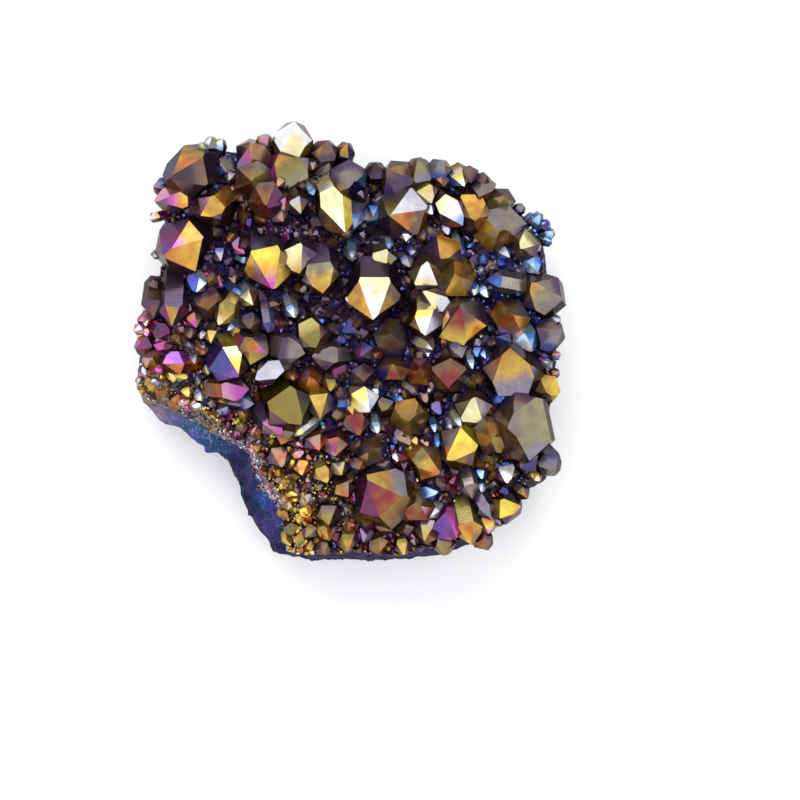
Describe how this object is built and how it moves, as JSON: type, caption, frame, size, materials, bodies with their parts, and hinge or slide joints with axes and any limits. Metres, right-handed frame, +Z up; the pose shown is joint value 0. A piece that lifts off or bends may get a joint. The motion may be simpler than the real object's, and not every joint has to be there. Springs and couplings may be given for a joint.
{
  "type": "crystal cluster",
  "caption": "Hand-sized plate of quartz crystals on host rock, coated with a metallic iridescent film, lying crystals up.",
  "frame": {"origin": "centre of the bounding box in X and Y, at the surface the rock rests on", "axes": "+Z up, out of the crystal bed; +Y towards the long upper row of crystals; +X towards the side with the tallest crystal"},
  "size_m": [0.0546, 0.0558, 0.0193],
  "materials": {
    "aura_quartz": "metallic iridescent coating, amber and gold with magenta, violet, blue and cyan patches"
  },
  "bodies": {
    "root": {"quartz_cluster": "aura_quartz"}
  },
  "joints": []
}
